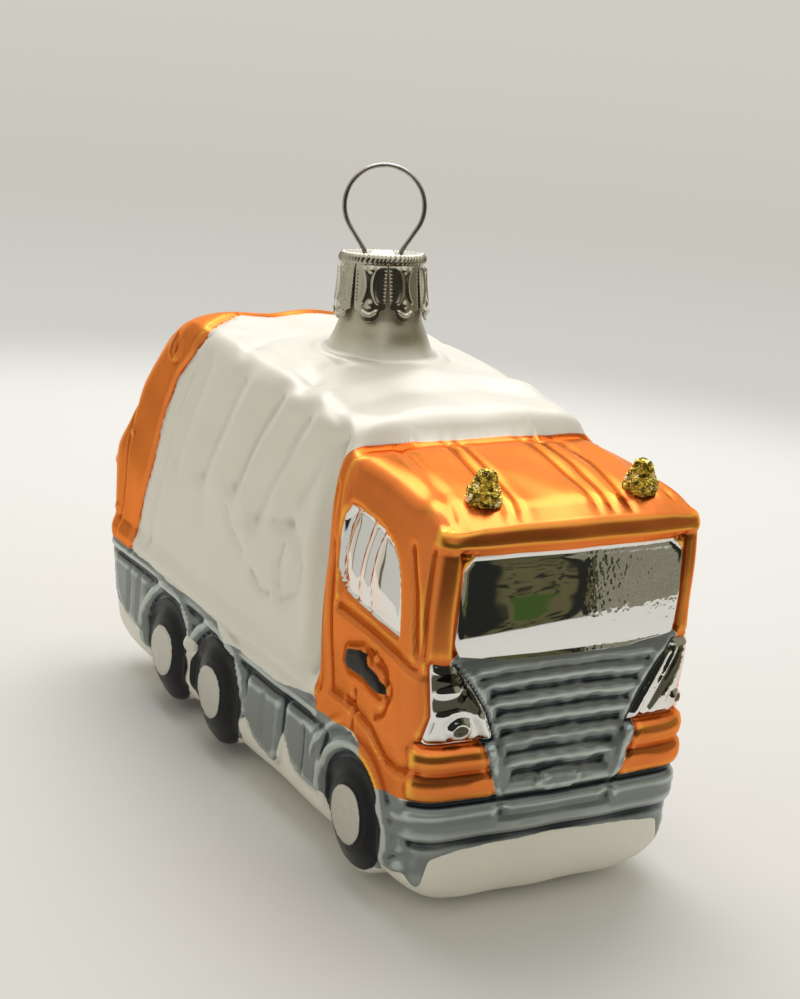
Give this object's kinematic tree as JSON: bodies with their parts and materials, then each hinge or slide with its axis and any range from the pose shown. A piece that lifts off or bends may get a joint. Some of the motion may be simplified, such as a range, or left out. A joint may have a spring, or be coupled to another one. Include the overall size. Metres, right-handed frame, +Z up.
{
  "type": "glass garbage truck ornament",
  "caption": "Hollow blown glass hanging ornament shaped as a refuse truck, with a stamped crown cap and a sprung wire ring.",
  "frame": {"origin": "middle of the flat on the belly that the ornament stands on, midway along and across the truck", "axes": "+Z up, square to the flat belly, the cab faces -Y, +X is the truck's left side; the neck leans 6 degrees from +Z towards +Y"},
  "size_m": [0.0464, 0.1086, 0.0908],
  "materials": {
    "lacquered_glass": "silvered inside, transparent orange, pearl white and blue-grey lacquers outside",
    "gold_glitter": "coarse gold glitter in glue",
    "stamped_cap": "bright stamped tin plate",
    "spring_wire": "bright drawn spring wire"
  },
  "bodies": {
    "glass": {"glass_body": "lacquered_glass", "beacon_right": "gold_glitter", "beacon_left": "gold_glitter"},
    "cap": {"crown_cap": "stamped_cap"},
    "hanger": {"wire_hanger": "spring_wire"}
  },
  "joints": [
    {"name": "cap_lift", "type": "slide", "parent": "glass", "child": "cap", "axis": [0, 0.1045, 0.9945], "range_m": [0, 0.022]},
    {"name": "ring_tilt", "type": "hinge", "parent": "cap", "child": "hanger", "pos_m": [0, 0.00458, 0.07747], "axis": [0.8572, -0.5122, 0.0538], "range_deg": [-10, 10]}
  ]
}
